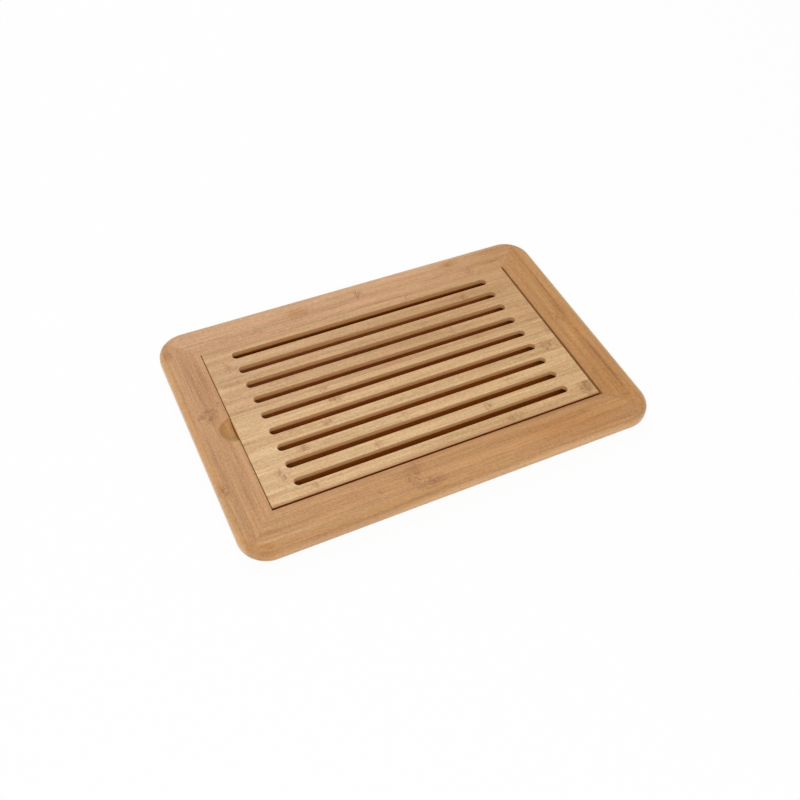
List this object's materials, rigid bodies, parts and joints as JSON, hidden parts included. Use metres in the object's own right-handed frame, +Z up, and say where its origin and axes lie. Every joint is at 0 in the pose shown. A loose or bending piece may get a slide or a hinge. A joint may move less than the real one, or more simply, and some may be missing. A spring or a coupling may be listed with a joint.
{
  "type": "bread board",
  "caption": "Rectangular bamboo bread board with a mitred frame, rounded rim, lift-out slotted grid, finger scoop and crumb tray below.",
  "frame": {"origin": "on the surface that the board stands on, under the middle of the frame", "axes": "+X along the long side to the right, +Y to the rear, +Z up out of the grid's top face"},
  "size_m": [0.42, 0.276, 0.02],
  "materials": {
    "rail_bamboo": "satin",
    "rail_right_bamboo": "satin",
    "grid_bamboo": "satin",
    "floor_bamboo": "satin",
    "spline_bamboo": "raw"
  },
  "bodies": {
    "frame": {"rail_front": "rail_bamboo", "rail_rear": "rail_bamboo", "rail_left": "rail_bamboo", "rail_right": "rail_right_bamboo", "spline_front_left": "spline_bamboo", "spline_front_right": "spline_bamboo", "spline_rear_left": "spline_bamboo", "spline_rear_right": "spline_bamboo", "floor_stave_1": "floor_bamboo", "floor_stave_2": "floor_bamboo", "floor_stave_3": "floor_bamboo", "floor_stave_4": "floor_bamboo", "floor_stave_5": "floor_bamboo", "floor_stave_6": "floor_bamboo", "floor_stave_7": "floor_bamboo", "floor_stave_8": "floor_bamboo", "floor_stave_9": "floor_bamboo"},
    "grid": {"grid_stave_1": "grid_bamboo", "grid_stave_2": "grid_bamboo", "grid_stave_3": "grid_bamboo", "grid_stave_4": "grid_bamboo", "grid_stave_5": "grid_bamboo", "grid_stave_6": "grid_bamboo", "grid_stave_7": "grid_bamboo", "grid_stave_8": "grid_bamboo", "grid_stave_9": "grid_bamboo"}
  },
  "joints": [
    {"name": "grid_lift", "type": "slide", "parent": "frame", "child": "grid", "axis": [0, 0, 1], "range_m": [0, 0.06]}
  ]
}
